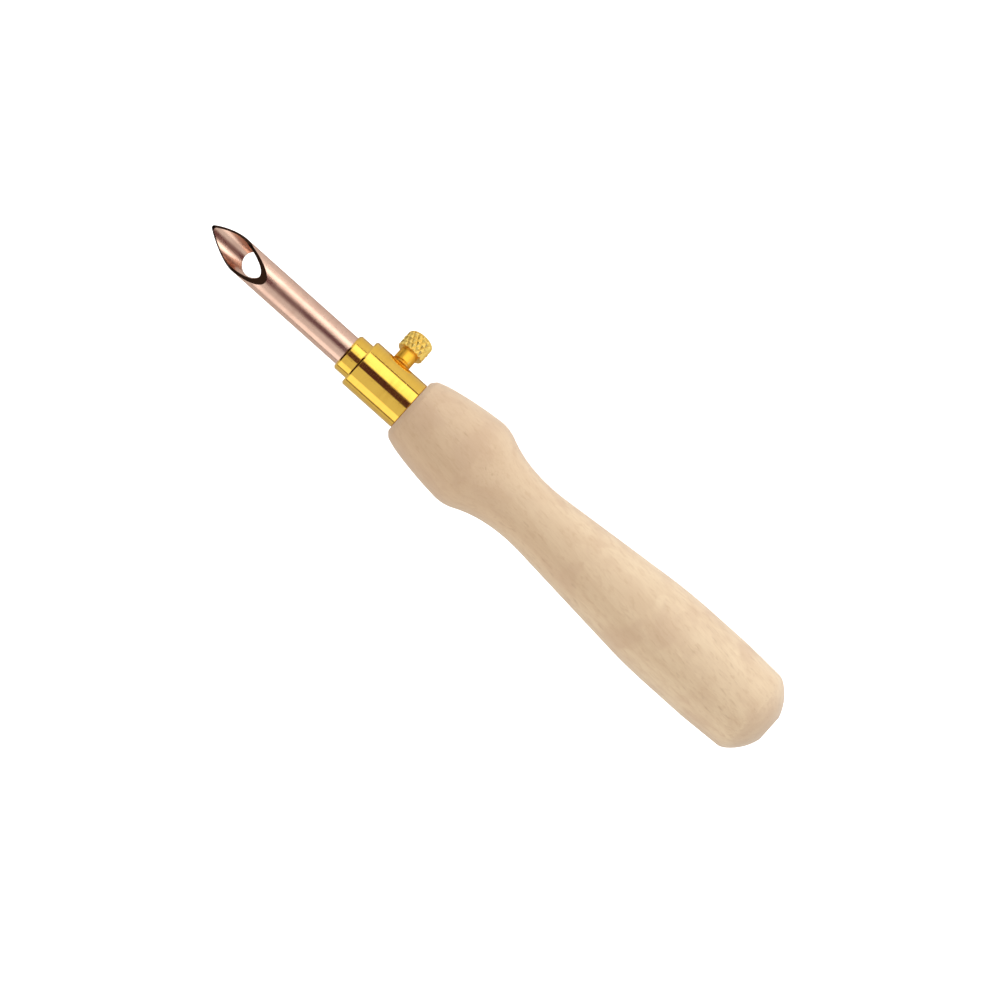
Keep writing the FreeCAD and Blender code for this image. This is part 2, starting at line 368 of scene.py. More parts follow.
@dataclass(frozen=True)
class MetalFinish:
    """Turned and polished copper alloy.

    The three colours are those of the clean metal, of its tarnish and grooves, and of its rubbed edges.
    A finish with edge_round shows its edges rounded by that radius. Up to deep_below along the axis, the
    metal turns to the deep colour. Both are in millimetres.
    """

    name: str
    colour: Colour
    deep: Colour
    worn: Colour
    axis: Triple
    clean_roughness: float
    hazy_roughness: float
    rings_per_metre: float
    ring_height: float
    stretch: Triple
    scratch_height: float
    edge_round: float = 0.0
    deep_below: float = -1000.0
    haze_size: float = 150.0
    hair_density: float = 900.0
    hair_haze: float = 0.12
    tarnish: float = 0.45
    wear_range: Pair = (0.53, 0.66)
    groove_range: Pair = (0.36, 0.48)

    def edges(self, shader: Shader) -> tuple[Socket, Socket]:
        """Find where the surface has edges.

        Args:
            shader: The material's shader tree.

        Returns:
            The sharpness, 0.5 on flat metal and less in grooves, and the normal.
        """
        surface = shader.node("ShaderNodeNewGeometry")
        if not self.edge_round:
            return surface.outputs["Pointiness"], surface.outputs["Normal"]
        bevel = shader.node("ShaderNodeBevel", {"Radius": self.edge_round * MM}, samples=6)
        rounded = bevel.outputs["Normal"]
        flatness = shader.dot(rounded, surface.outputs["Normal"])
        return shader.math("SUBTRACT", 1.5, flatness), rounded

    def toned(self, shader: Shader, place: Socket, sharpness: Socket, haze: Socket) -> Socket:
        """Colour of the metal with its tarnish, its darker grooves and the deep colour below deep_below,
        before the rubbed edges.

        Args:
            shader: The material's shader tree.
            place: The place on the piece.
            sharpness: Sharpness of the edges.
            haze: Mask of the haze, slowly changing along the axis.

        Returns:
            The colour's socket.
        """
        along = shader.dot(place, self.axis)
        stem = shader.remap(along, (self.deep_below - 0.2) * MM, (self.deep_below + 0.1) * MM, 0.8, 0.0)
        grooves = shader.remap(sharpness, *self.groove_range, 0.9, 0.0)
        deepest = shader.math("MAXIMUM", stem, grooves)
        share = shader.math("MAXIMUM", shader.math("MULTIPLY", haze, self.tarnish), deepest)
        return shader.blend(share, self.colour, self.deep)

    def material(self, effects: SurfaceEffects) -> Material:
        """Make the finish as a material.

        Args:
            effects: The shared node groups.

        Returns:
            The new material.
        """
        material, shader, principled, place = new_material(self.name)
        sharpness, normal = self.edges(shader)
        rings = shader.group(effects.turning, Place=place, Axis=self.axis, Rings=self.rings_per_metre)
        haze = shader.group(
            effects.handling,
            Place=place,
            Size=self.haze_size,
            Clean=self.clean_roughness,
            Hazy=self.hazy_roughness,
        )
        hairs = shader.group(effects.scratches, Place=place, Stretch=self.stretch, Density=self.hair_density)
        start, end = self.wear_range
        edges = shader.group(effects.wear, Place=place, Sharpness=sharpness, Start=start, End=end)
        banded = shader.math("MULTIPLY", haze.outputs["Mask"], shader.remap(rings.outputs["Tone"], 0.3, 0.7))
        colour = shader.blend(edges.outputs["Mask"], self.toned(shader, place, sharpness, banded), self.worn)
        rough = shader.math("MULTIPLY_ADD", hairs.outputs["Mask"], self.hair_haze, haze.outputs["Roughness"])
        relief = shader.math("MULTIPLY", rings.outputs["Height"], self.ring_height * MM)
        relief = shader.math("MULTIPLY_ADD", hairs.outputs["Mask"], -self.scratch_height * MM, relief)
        bumps = {"Strength": 1.0, "Distance": 1.0, "Height": relief, "Normal": normal}
        bumped = shader.node("ShaderNodeBump", bumps).outputs["Normal"]
        shader.feed(principled, Metallic=1.0, Base_Color=colour, Roughness=rough, Normal=bumped)
        return material


@dataclass(frozen=True)
class WoodFinish:
    """Pale turned hardwood with a fine sanded surface.

    The grain runs through the whole piece, a little askew, so the turned shape cuts across its yearly rings.
    """

    name: str = "pale_turned_wood"
    light: Colour = (0.82, 0.627, 0.41)
    warm: Colour = (0.735, 0.53, 0.335)
    late: Colour = (0.63, 0.42, 0.25)
    blotch: Colour = (0.68, 0.475, 0.305)
    fleck: Colour = (0.48, 0.30, 0.17)
    end_grain: Colour = (0.70, 0.50, 0.32)
    # Painted shade: the wood is multiplied darker towards the front of the handle, standing in for light that
    # falls from the tail's side.
    front_painted_shade: Colour = (0.93, 0.905, 0.895)
    front_shade_span: Pair = (10.0, 75.0)
    grain_turn: Triple = (0.35, 0.09, 0.13)
    grain_shift: Triple = (0.013, 0.021, 0.007)
    rings_per_metre: float = 330.0
    ring_drift: float = 2.6
    fibre_height: float = 0.035
    ray_depth: float = 0.02
    turning_height: float = 0.012

    @staticmethod
    def drawn_out(shader: Shader, grain: Socket, share: float) -> Socket:
        """Place in the wood for a pattern that is drawn out along the grain."""
        return shader.scaled(grain, (share, 1.0, 1.0))

    def late_wood(self, shader: Shader, grain: Socket, drawn: Socket) -> Socket:
        """Mask of the darker wood at the end of each yearly ring.

        Args:
            shader: The material's shader tree.
            grain: The place in the wood.
            drawn: The same place, drawn out along the grain.

        Returns:
            The mask's socket.
        """
        drift = shader.noise(drawn, 70.0, 2.0, 0.5, 0.3)
        across = shader.math("MULTIPLY", shader.dot(grain, (0.1, 0.6, 1.0)), self.rings_per_metre)
        ring = shader.math("FRACT", shader.math("MULTIPLY_ADD", drift, self.ring_drift, across))
        return shader.math("MULTIPLY", shader.remap(ring, 0.45, 0.95), shader.remap(ring, 1.0, 0.97))

    def rays(self, shader: Shader, grain: Socket, drawn: Socket) -> Socket:
        """Mask of the short dark rays, which lie in drifts.

        Args:
            shader: The material's shader tree.
            grain: The place in the wood.
            drawn: The same place, drawn out along the grain.

        Returns:
            The mask's socket.
        """
        fine = shader.noise(self.drawn_out(shader, grain, 0.22), 1500.0, 2.0, 0.5)
        drifts = shader.noise(drawn, 160.0, 2.0)
        return shader.math("MULTIPLY", shader.remap(fine, 0.63, 0.74), shader.remap(drifts, 0.4, 0.62))

    def material(self, effects: SurfaceEffects) -> Material:
        """Make the finish as a material.

        Args:
            effects: The shared node groups.

        Returns:
            The new material.
        """
        material, shader, principled, place = new_material(self.name)
        leaned = {"Vector": place, "Rotation": self.grain_turn, "Location": self.grain_shift}
        grain = shader.node("ShaderNodeMapping", leaned).outputs[0]
        drawn = self.drawn_out(shader, grain, 0.13)
        fibre = shader.noise(self.drawn_out(shader, grain, 0.1), 2600.0, 4.0, 0.65)
        dashes = shader.noise(self.drawn_out(shader, grain, 0.35), 1250.0, 3.0, 0.6, 0.5)
        blotches = shader.noise(place, 105.0, 3.0, 0.55, 0.4)
        patches = shader.noise(drawn, 55.0, 3.0, 0.55, 0.8)
        rays = self.rays(shader, grain, drawn)
        facing = shader.node("ShaderNodeTexCoord").outputs["Normal"]
        lengthwise = shader.node("ShaderNodeSeparateXYZ", {0: facing}).outputs["X"]
        across_grain = shader.math("ABSOLUTE", lengthwise)
        station = shader.node("ShaderNodeSeparateXYZ", {0: place}).outputs["X"]
        layers = (
            (shader.remap(blotches, 0.44, 0.66), 0.75, self.blotch),
            (self.late_wood(shader, grain, drawn), 0.2, self.late),
            (shader.remap(fibre, 0.42, 0.74), 0.3, self.late),
            (shader.remap(dashes, 0.5, 0.7), 0.42, self.late),
            (rays, 0.35, self.fleck),
            (shader.remap(across_grain, 0.45, 0.98), 0.35, self.end_grain),
        )
        colour = shader.blend(shader.remap(patches, 0.36, 0.68), self.light, self.warm)
        for mask, strength, tone in layers:
            colour = shader.blend(shader.math("MULTIPLY", mask, strength), colour, tone)
        # Painted shade: darker towards the handle's front, for the light that falls from the tail's side.
        front_start, front_end = self.front_shade_span
        front = shader.remap(station, front_start * MM, front_end * MM, 1.0, 0.0)
        colour = shader.blend(front, colour, self.front_painted_shade, "MULTIPLY")
        sharpness = shader.node("ShaderNodeNewGeometry").outputs["Pointiness"]
        edges = shader.group(effects.wear, Place=place, Sharpness=sharpness, Start=0.55, End=0.72)
        colour = shader.blend(shader.math("MULTIPLY", edges.outputs["Mask"], 0.3), colour, self.light)
        haze = shader.group(effects.handling, Place=place, Size=45.0, Clean=0.52, Hazy=0.66)
        rings = shader.group(effects.turning, Place=place, Axis=(1.0, 0.0, 0.0), Rings=3200.0)
        relief = shader.math("MULTIPLY", fibre, self.fibre_height * MM)
        relief = shader.math("MULTIPLY_ADD", rays, -self.ray_depth * MM, relief)
        relief = shader.math("MULTIPLY_ADD", rings.outputs["Height"], self.turning_height * MM, relief)
        bump = shader.node("ShaderNodeBump", {"Strength": 0.6, "Distance": 1.0, "Height": relief})
        shader.feed(principled, Specular_IOR_Level=0.35, Sheen_Weight=0.45, Sheen_Roughness=0.5)
        rough = haze.outputs["Roughness"]
        shader.feed(principled, Base_Color=colour, Roughness=rough, Normal=bump.outputs["Normal"])
        return material


# Mesh building


@dataclass
class Skin:
    """Points in millimetres with their normals, and the faces between them."""

    points: list[Vector] = field(default_factory=list)
    normals: list[Vector] = field(default_factory=list)
    faces: list[tuple[int, ...]] = field(default_factory=list)

    def add(self, point: Vector, normal: Vector) -> int:
        """Add one point.

        Args:
            point: The point, in millimetres.
            normal: Direction that the surface faces there.

        Returns:
            The point's number.
        """
        self.points.append(point)
        self.normals.append(normal.normalized())
        return len(self.points) - 1

    def loop(self, points: Iterable[Vector], normals: Iterable[Vector]) -> list[int]:
        """Add a row of points and return their numbers."""
        return [self.add(point, normal) for point, normal in zip(points, normals)]

    def bridge(self, first: Sequence[int], second: Sequence[int]) -> None:
        """Fill the band between two closed rows of the same length.

        Args:
            first: Numbers of the first row's points.
            second: Numbers of the second row's points.
        """
        count = len(first)
        for at in range(count):
            after = (at + 1) % count
            self.face((first[at], first[after], second[after], second[at]))

    def face(self, corners: tuple[int, ...]) -> None:
        """Add one face, turned to agree with the normals of its points.

        Args:
            corners: Numbers of its three or four points.
        """
        a, b, c = (self.points[corner] for corner in corners[:3])
        turned = (b - a).cross(c - a)
        if len(corners) == 4:
            turned += (c - a).cross(self.points[corners[3]] - a)
        agreed = sum((self.normals[corner] for corner in corners), Vector())
        self.faces.append(corners if turned.dot(agreed) > 0 else tuple(reversed(corners)))

    def build(self, name: str, place: Matrix, keep_normals: bool) -> Piece:
        """Make the object, in metres and in the frame of the part.

        Args:
            name: Name of the object.
            place: Matrix from the piece's own frame to the part's frame, in millimetres.
            keep_normals: Use the given normals, or else smooth only the gentle edges.

        Returns:
            The new object.
        """
        mesh = bpy.data.meshes.new(name)
        mesh.from_pydata([place @ point * MM for point in self.points], [], self.faces)
        mesh.polygons.foreach_set("use_smooth", [True] * len(mesh.polygons))
        mesh.update()
        if keep_normals:
            turn = place.to_3x3()
            mesh.normals_split_custom_set_from_vertices([turn @ normal for normal in self.normals])
        made = bpy.data.objects.new(name, mesh)
        bpy.context.scene.collection.objects.link(made)
        return made


def sharpen(piece: Piece, degrees: float) -> None:
    """Mark the edges of a piece that turn by more than this angle as sharp.

    Args:
        piece: The piece.
        degrees: Largest turn of an edge that stays smooth.
    """
    limit = math.radians(degrees)
    shape = bmesh.new()
    shape.from_mesh(piece.data)
    for edge in shape.edges:
        edge.smooth = len(edge.link_faces) == 2 and edge.calc_face_angle(0.0) < limit
    shape.to_mesh(piece.data)
    shape.free()


def curved(start: Vector, corner: Vector, end: Vector, share: float) -> Vector:
    """Point on the soft corner from start to end."""
    return start.lerp(corner, share).lerp(corner.lerp(end, share), share)


def dress(piece: Piece, material: Material) -> None:
    """Give every slot of a piece the same material.

    Args:
        piece: The piece.
        material: Its material.
    """
    if not piece.data.materials:
        piece.data.materials.append(material)
    for number in range(len(piece.data.materials)):
        piece.data.materials[number] = material


def heading(degrees: float) -> Vector:
    """Direction of an outline that climbs at this angle."""
    return Vector((math.cos(math.radians(degrees)), math.sin(math.radians(degrees))))


def line(start: Sequence[float], end: Sequence[float], parts: int = 1) -> list[Vector]:
    """Points of a straight run."""
    return [Vector(start).lerp(Vector(end), at / parts) for at in range(parts + 1)]


def arc(start: Vector, along: Vector, end: Vector, parts: int) -> list[Vector]:
    """Points of the arc that leaves its start along a direction.

    Args:
        start: Where the arc starts.
        along: Direction of length 1 in which it leaves.
        end: Where it ends.
        parts: How many steps it has.

    Returns:
        The points, with the start and the end.
    """
    chord = end - start
    bend = math.atan2(along.x * chord.y - along.y * chord.x, along.dot(chord))
    points = []
    for at in range(parts + 1):
        share = at / parts
        reach = chord.length * (math.sin(bend * share) / math.sin(bend) if abs(bend) > 1e-6 else share)
        points.append(start + Matrix.Rotation(bend * share, 2) @ along * reach)
    return points


def joined(runs: Sequence[list[Vector]], soft: float) -> list[Vector]:
    """Put the runs of an outline together, with the corners between them rounded.

    Args:
        runs: The runs in order, each starting where the one before it ends.
        soft: How far from a corner its rounding starts.

    Returns:
        The points of the whole outline.
    """
    points = list(runs[0])
    for run in runs[1:]:
        before, corner, after = points[-2], points[-1], run[1]
        start = corner + (before - corner) * min(soft / (before - corner).length, 0.45)
        end = corner + (after - corner) * min(soft / (after - corner).length, 0.45)
        points = points[:-1] + [curved(start, corner, end, part / 4) for part in range(5)] + run[1:]
    return points


def closed_edges(first: int, count: int) -> list[tuple[int, int]]:
    """Edges that join a row of numbered points into a closed loop."""
    return [(first + at, first + (at + 1) % count) for at in range(count)]


# The pieces


@dataclass(frozen=True)
class Handle:
    """Turned wooden handle. Its own frame has the front face at 0 and the axis on X."""

    front: float = 16.7
    length: float = 97.0
    front_radius: float = 7.45
    front_chamfer: Pair = (1.0, 1.1)
    fore: Pair = (4.6, 8.52)
    bulb_at: float = 16.3
    bulb_radius: float = 10.1
    crest_round: float = 9.0
    bulb_front_angle: float = 4.5
    bulb_rear_angle: float = 24.7
    neck: Pair = (32.0, 6.85)
    grip: Pair = (36.4, 7.06)
    swell: Pair = (62.0, 9.38)
    crown_start: Pair = (72.0, 9.8)
    crown_end: Pair = (82.0, 9.8)
    tail_radius: float = 9.4
    tail_round: Pair = (0.9, 0.6)
    dome_height: float = 5.45
    channel_radius: float = 2.25
    lip: float = 0.5
    bore: Pair = (45.0, 3.8)
    counterbore: Pair = (12.4, 4.53)
    soft: float = 0.45
    columns: int = 160
    finish: WoodFinish = WoodFinish()

    def bulb_runs(self) -> list[list[Vector]]:
        """Runs of the outline from the front face over the bulb to the neck.

        Returns:
            The runs in order, each starting where the one before it ends.
        """
        flat = (0.0, self.front_radius - self.front_chamfer[1])
        edge = Vector((self.front_chamfer[0], self.front_radius))
        fore, neck = Vector(self.fore), Vector(self.neck)
        centre = Vector((self.bulb_at, self.bulb_radius - self.crest_round))
        rise_along, fall_along = heading(self.bulb_front_angle), heading(-self.bulb_rear_angle)
        rise = centre + heading(self.bulb_front_angle + 90) * self.crest_round
        fall = centre + heading(90 - self.bulb_rear_angle) * self.crest_round
        climb = math.degrees(math.atan2(rise.y - fore.y, rise.x - fore.x))
        fore_along = heading(2 * climb - self.bulb_front_angle)
        chord = neck - fall
        pull = chord.dot(fall_along + X_AXIS.xy)
        spread = 2 * (1 - fall_along.dot(X_AXIS.xy))
        reach = (math.sqrt(pull**2 + spread * chord.length**2) - pull) / spread
        joint = (fall + neck + (fall_along - X_AXIS.xy) * reach) / 2
        crest = arc(rise, -rise_along, fore, 12)[::-1] + arc(rise, rise_along, fall, 14)[1:]
        slope = arc(fall, fall_along, joint, 10)[1:] + arc(neck, -X_AXIS.xy, joint, 10)[-2::-1]
        return [
            line((0.0, self.counterbore[1]), flat),
            line(flat, edge, 2),
            arc(fore, -fore_along, edge, 8)[::-1],
            crest + slope,
        ]

    def grip_runs(self) -> list[list[Vector]]:
        """Runs of the outline from the neck over the grip and the domed tail to the yarn's channel.

        Returns:
            The runs in order, each starting where the one before it ends.
        """
        neck, grip, swell = Vector(self.neck), Vector(self.grip), Vector(self.swell)
        crown_start, crown_end = Vector(self.crown_start), Vector(self.crown_end)
        tail = Vector((self.length - self.dome_height - self.tail_round[0], self.tail_radius))
        radius = (self.tail_radius**2 + self.dome_height**2) / (2 * self.dome_height)
        top = math.asin((self.tail_radius - self.tail_round[1]) / radius)
        low = math.asin((self.channel_radius + self.lip) / radius)
        centre = Vector((self.length - radius, 0.0))
        turns = [math.degrees(top + (low - top) * part / 20) for part in range(21)]
        dome = [centre + heading(turn) * radius for turn in turns]
        mouth = (dome[-1].x - self.lip, self.channel_radius)
        crown_rise = arc(crown_start, -X_AXIS.xy, swell, 8)[-2::-1]
        return [
            arc(neck, X_AXIS.xy, grip, 5) + line(grip, swell, 10)[1:] + crown_rise,
            line(crown_start, crown_end, 4),
            line(crown_end, tail, 4),
            arc(tail, X_AXIS.xy, dome[0], 6),
            dome,
            line(dome[-1], mouth, 2),
            line(mouth, (self.bore[0], self.channel_radius), 4),
        ]

    def bore_points(self) -> list[Vector]:
        """Points of the stepped bore between the yarn's channel and the front face."""
        return [Vector(self.bore), Vector((self.counterbore[0], self.bore[1])), Vector(self.counterbore)]

    def build(self, effects: SurfaceEffects) -> Piece:
        """Build the handle in place of its CAD node.

        Args:
            effects: The shared node groups.

        Returns:
            The handle.
        """
        outline = joined(self.bulb_runs() + self.grip_runs(), self.soft) + self.bore_points()
        turns = [math.tau * at / self.columns for at in range(self.columns)]
        skin = Skin()
        rings = []
        for at, spot in enumerate(outline):
            along = (outline[(at + 1) % len(outline)] - outline[at - 1]).normalized()
            points = [Vector((spot.x, spot.y * math.sin(turn), spot.y * math.cos(turn))) for turn in turns]
            away = [Vector((-along.y, along.x * math.sin(turn), along.x * math.cos(turn))) for turn in turns]
            rings.append(skin.loop(points, away))
        for ring, after in zip(rings, rings[1:] + rings[:1]):
            skin.bridge(ring, after)
        piece = skin.build("handle_turned", Matrix.Translation((self.front, 0, 0)), keep_normals=False)
        sharpen(piece, 30.0)
        dress(piece, self.finish.material(effects))
        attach(piece, Body.HANDLE.value)
        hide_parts("handle")
        return piece


@dataclass(frozen=True)
class Ferrule:
    """Turned brass ferrule, kept as the CAD node."""

    finish: MetalFinish = MetalFinish(
        name="polished_brass",
        colour=(1.0, 0.64, 0.11),
        deep=(0.86, 0.49, 0.07),
        worn=(1.0, 0.72, 0.2),
        axis=(1.0, 0.0, 0.0),
        clean_roughness=0.07,
        hazy_roughness=0.13,
        rings_per_metre=9000.0,
        ring_height=0.0012,
        stretch=(1.0, 0.12, 0.12),
        scratch_height=0.002,
        edge_round=0.16,
    )

    def dress(self, effects: SurfaceEffects) -> Piece:
        """Give the ferrule its brass.

        Args:
            effects: The shared node groups.

        Returns:
            The ferrule.
        """
        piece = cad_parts["ferrule"]
        dress(piece, self.finish.material(effects))
        return piece


@dataclass(frozen=True)
class Needle:
    """Hollow needle with a pointed bevel and an eye.

    Its own frame has the tip at 0 and the bevel facing +Z. Angles go round the tube from the bottom, where
    the eye is. The pointed end is meshed on the unrolled tube, whose seam lies at the top.
    """

    outer: float = 3.45
    inner: float = 2.9
    length: float = 78.0
    bare: float = 36.8
    turn: float = -8.998
    bevel_length: float = 15.4
    bevel_crown: float = 0.4
    tip_thickness: float = 0.2
    tip_half_width: float = 0.42
    tip_round: float = 0.17
    facet_plan_angle: float = 38.7
    facet_slope_angle: float = 41.0
    facet_start: float = 0.97
    eye_at: float = 11.6
    eye_radius: float = 2.6
    soft: float = 0.09
    mouth_chamfer: float = 0.25
    mouth_soft: float = 0.03
    columns: int = 96
    step: float = 0.32
    eye_points: int = 72
    point_region: float = 17.5
    row_gap: float = 0.55
    plain_rows: Pair = (30.0, 50.0)
    finish: MetalFinish = MetalFinish(
        name="rose_gold_tube",
        colour=(0.87, 0.595, 0.47),
        deep=(0.70, 0.43, 0.33),
        worn=(0.93, 0.70, 0.58),
        axis=(1.0, 0.0, 0.0),
        clean_roughness=0.23,
        hazy_roughness=0.31,
        rings_per_metre=5000.0,
        ring_height=0.0015,
        stretch=(0.12, 1.0, 1.0),
        scratch_height=0.004,
    )
    # Painted dark reflection: the ground face of the bevel is coloured near black, standing in for the dark
    # surroundings that it mirrors.
    rim_painted_dark_reflection: MetalFinish = MetalFinish(
        name="ground_rim_painted_reflection",
        colour=(0.05, 0.024, 0.014),
        deep=(0.07, 0.03, 0.018),
        worn=(0.16, 0.08, 0.05),
        axis=(0.9, 0.0, 0.43),
        clean_roughness=0.25,
        hazy_roughness=0.35,
        rings_per_metre=9000.0,
        ring_height=0.001,
        stretch=(1.0, 0.2, 1.0),
        scratch_height=0.003,
    )

    def bevel_x(self, height: float) -> float:
        """Station of the crowned bevel at this height.

        Args:
            height: Height above the tube's axis.

        Returns:
            The station on the axis, from the tip.
        """
        rise, run = 2 * self.outer - self.tip_thickness, self.bevel_length
        chord = math.hypot(rise, run)
        radius = (chord**2 / 4 + self.bevel_crown**2) / (2 * self.bevel_crown)
        back = radius - self.bevel_crown
        centre_x = run / 2 + rise / chord * back
        centre_z = self.tip_thickness / 2 - run / chord * back
        return centre_x - math.sqrt(radius**2 - (height - centre_z) ** 2)

    def facet_x(self, side: float, height: float) -> float:
        """Station of the flat side facets at a distance from the middle and a height.

        Args:
            side: Distance from the middle plane, to either side.
            height: Height above the tube's axis.

        Returns:
            The station on the axis, from the tip.
        """
        start = self.facet_start * self.tip_half_width
        plan = 1 / math.tan(math.radians(self.facet_plan_angle))
        slope = 1 / math.tan(math.radians(self.facet_slope_angle))
        root = self.tip_round - plan * start + slope * math.sqrt(self.outer**2 - start**2)
        return root + plan * abs(side) + slope * height

    def tip_x(self, side: float) -> float:
        """Station of the rounded tip at this distance from the middle."""
        radius = (self.tip_round**2 + self.tip_half_width**2) / (2 * self.tip_round)
        return radius - math.sqrt(radius**2 - min(abs(side), self.tip_half_width) ** 2)

    def end_x(self, angle: float, radius: float) -> float:
        """Station where the tube's wall ends, at an angle and a radius."""
        side, height = radius * math.sin(angle), -radius * math.cos(angle)
        return max(self.bevel_x(height), self.facet_x(side, height), self.tip_x(side))

    def angles(self) -> list[float]:
        """Angles of the tube's columns all the way round, closer where its end runs steeply.

        Returns:
            The angles in rising order, of which the first is the seam's.
        """
        half = [math.pi * at / (self.columns // 2) for at in range(self.columns // 2 + 1)]
        refined = [half[0]]
        for low, high in zip(half, half[1:]):
            rise = abs(self.end_x(high, self.outer) - self.end_x(low, self.outer))
            parts = max(1, math.ceil(rise / self.step))
            refined += [low + (high - low) * part / parts for part in range(1, parts + 1)]
        return [-angle for angle in reversed(refined[1:])] + refined[:-1]

    @staticmethod
    def on_tube(angle: float, x: float, radius: float) -> Vector:
        """Point on a tube of this radius."""
        return Vector((x, radius * math.sin(angle), -radius * math.cos(angle)))

    @staticmethod
    def outward(angle: float) -> Vector:
        """Direction away from the axis."""
        return Vector((0, math.sin(angle), -math.cos(angle)))

    @staticmethod
    def spot_key(angle: float, x: float) -> tuple[int, int]:
        """Whole numbers that are the same for two spots in one place."""
        return round(angle * 1e5), round(x * 1e5)

    def eased_end(self, angles: Sequence[float], radius: float) -> list[Pair]:
        """Angles and stations of the row just behind the wall's end.

        Args:
            angles: The tube's columns.
            radius: Radius of the surface that the row lies on.

        Returns:
            One angle and station for each column.
        """
        flat = [Vector((radius * angle, self.end_x(angle, radius))) for angle in angles]
        ahead = Vector((2 * flat[0].x - flat[1].x, flat[1].y))
        beyond = Vector((2 * flat[-1].x - flat[-2].x, flat[-2].y))
        row = [ahead, *flat, beyond]
        eased = []
        for before, spot, after in zip(row, flat, row[2:]):
            along = (after - before).normalized()
            moved = spot + Vector((-along.y, along.x)) * self.soft
            eased.append((moved.x / radius, moved.y))
        return eased

    def over_eye(self, angle: float, x: float, radius: float, margin: float = 0.0) -> bool:
        """Whether a spot lies over the eye, or within a margin round it."""
        gap = math.hypot(x - self.eye_at, radius * math.sin(angle)) - (self.eye_radius + self.soft)
        return abs(angle) < math.pi / 2 and gap < margin

    @staticmethod
    def behind_end(ends: Sequence[Pair], spot: Vector, radius: float) -> bool:
        """Whether a spot of the unrolled surface lies behind the row at the wall's end.

        Args:
            ends: The row at the wall's end.
            spot: Distance round the tube and station of the spot.
            radius: Radius of the surface.

        Returns:
            True for a spot behind the row.
        """
        row = [*ends, (math.pi, ends[0][1])]
        for (angle, x), (next_angle, next_x) in zip(row, row[1:]):
            low, high = angle * radius, next_angle * radius
            if low <= spot.x <= high and high > low:
                return spot.y > x + (next_x - x) * (spot.x - low) / (high - low)
        return True

    def border_spots(self, ends: list[Pair], rear: list[Pair], stations: Sequence[float]) -> list[Pair]:
        """Spots round the unrolled surface of the pointed end.

        Args:
            ends: The row at the wall's end.
            rear: The row where the plain tube starts.
            stations: Stations of the rows between them.

        Returns:
            The wall's end, one side of the seam, the rear row backwards and the seam's other side.
        """
        start = ends[0][1]
        seam_rows = [x for x in stations if x > start + self.row_gap / 2]
        far_side = [(math.pi, x) for x in (start, *seam_rows, self.point_region)]
        near_side = [(-math.pi, x) for x in reversed(seam_rows)]
        return ends + far_side + rear[::-1] + near_side

    def inner_spots(
        self, angles: Sequence[float], ends: Sequence[Pair], stations: Sequence[float], radius: float
    ) -> list[Pair]:
        """Spots between the wall's end, the eye and the plain tube.

        Args:
            angles: The tube's columns, of which the first lies on the seam.
            ends: The row at the wall's end.
            stations: Stations of the rows.
            radius: Radius of the surface.

        Returns:
            The spots of each column, clear of the wall's end and of the eye.
        """
        end_gap, eye_gap = self.row_gap * 0.6, self.row_gap * 0.5
        spots = []
        for angle, (_, end) in list(zip(angles, ends))[1:]:
            behind = [x for x in stations if x > end + end_gap]
            spots += [(angle, x) for x in behind if not self.over_eye(angle, x, radius, eye_gap)]
        return spots

    def point_surface(
        self, skin: Skin, angles: Sequence[float], radius: float, facing: float
    ) -> tuple[list[int], ...]:
        """Wall surface of the pointed end, with the hole of the eye left open.

        Args:
            skin: Where the points and faces go.
            angles: The tube's columns.
            radius: Radius of the surface.
            facing: 1 for the outer surface and -1 for the inner one.

        Returns:
            The rows of points at the wall's end, at the eye and at the rear of the region.
        """
        ends = self.eased_end(angles, radius)
        turns = [math.tau * at / self.eye_points for at in range(self.eye_points)]
        reach = self.eye_radius + self.soft
        eye = [(math.asin(reach * math.sin(t) / radius), self.eye_at + reach * math.cos(t)) for t in turns]
        rear = [(angle, self.point_region) for angle in angles]
        rows = math.ceil(self.point_region / self.row_gap)
        stations = [self.point_region * row / rows for row in range(1, rows)]
        border = self.border_spots(ends, rear, stations)
        spots = border + eye + self.inner_spots(angles, ends, stations, radius)
        flat = [Vector((radius * angle, x)) for angle, x in spots]
        edges = closed_edges(0, len(border)) + closed_edges(len(border), len(eye))
        places, _, triangles, *_ = delaunay_2d_cdt(flat, edges, [], 0, 1e-6)
        numbers: dict[tuple[int, int], int] = {}
        found = []
        for place in places:
            angle = place.x / radius
            if abs(angle) > math.pi - 1e-6:
                angle = -math.pi
            key = self.spot_key(angle, place.y)
            if key not in numbers:
                numbers[key] = skin.add(self.on_tube(angle, place.y, radius), self.outward(angle) * facing)
            found.append(numbers[key])
        for triangle in triangles:
            middle = sum((places[corner] for corner in triangle), Vector((0, 0))) / 3
            corners = tuple(found[corner] for corner in triangle)
            on_wall = not self.over_eye(middle.x / radius, middle.y, radius)
            if on_wall and self.behind_end(ends, middle, radius) and len(set(corners)) == 3:
                skin.face(corners)
        return tuple([numbers[self.spot_key(*spot)] for spot in row] for row in (ends, eye, rear))

    def soft_band(
        self,
        skin: Skin,
        rows: Sequence[tuple[Vector, ...]],
        normals: Sequence[tuple[Vector, Vector, Vector]],
        first: list[int],
        last: list[int],
    ) -> None:
        """Band across the wall's cut face, with both of its edges softened.

        Args:
            skin: Where the points and faces go.
            rows: For each column, the outer row, outer corner, two face points, inner corner, inner row.
            normals: For each column, the normals of the outer surface, the cut face and the inner surface.
            first: Numbers of the outer row.
            last: Numbers of the inner row.
        """
        shares = (0.34, 0.67, 1.0)
        before = first
        for share in shares:
            points = [curved(row[0], row[1], row[2], share) for row in rows]
            after = skin.loop(points, [outer.lerp(cut, share) for outer, cut, _ in normals])
            skin.bridge(before, after)
            before = after
        for share in (0.0, *shares[:-1]):
            points = [curved(row[3], row[4], row[5], share) for row in rows]
            after = skin.loop(points, [cut.lerp(inner, share) for _, cut, inner in normals])
            skin.bridge(before, after)
            before = after
        skin.bridge(before, last)

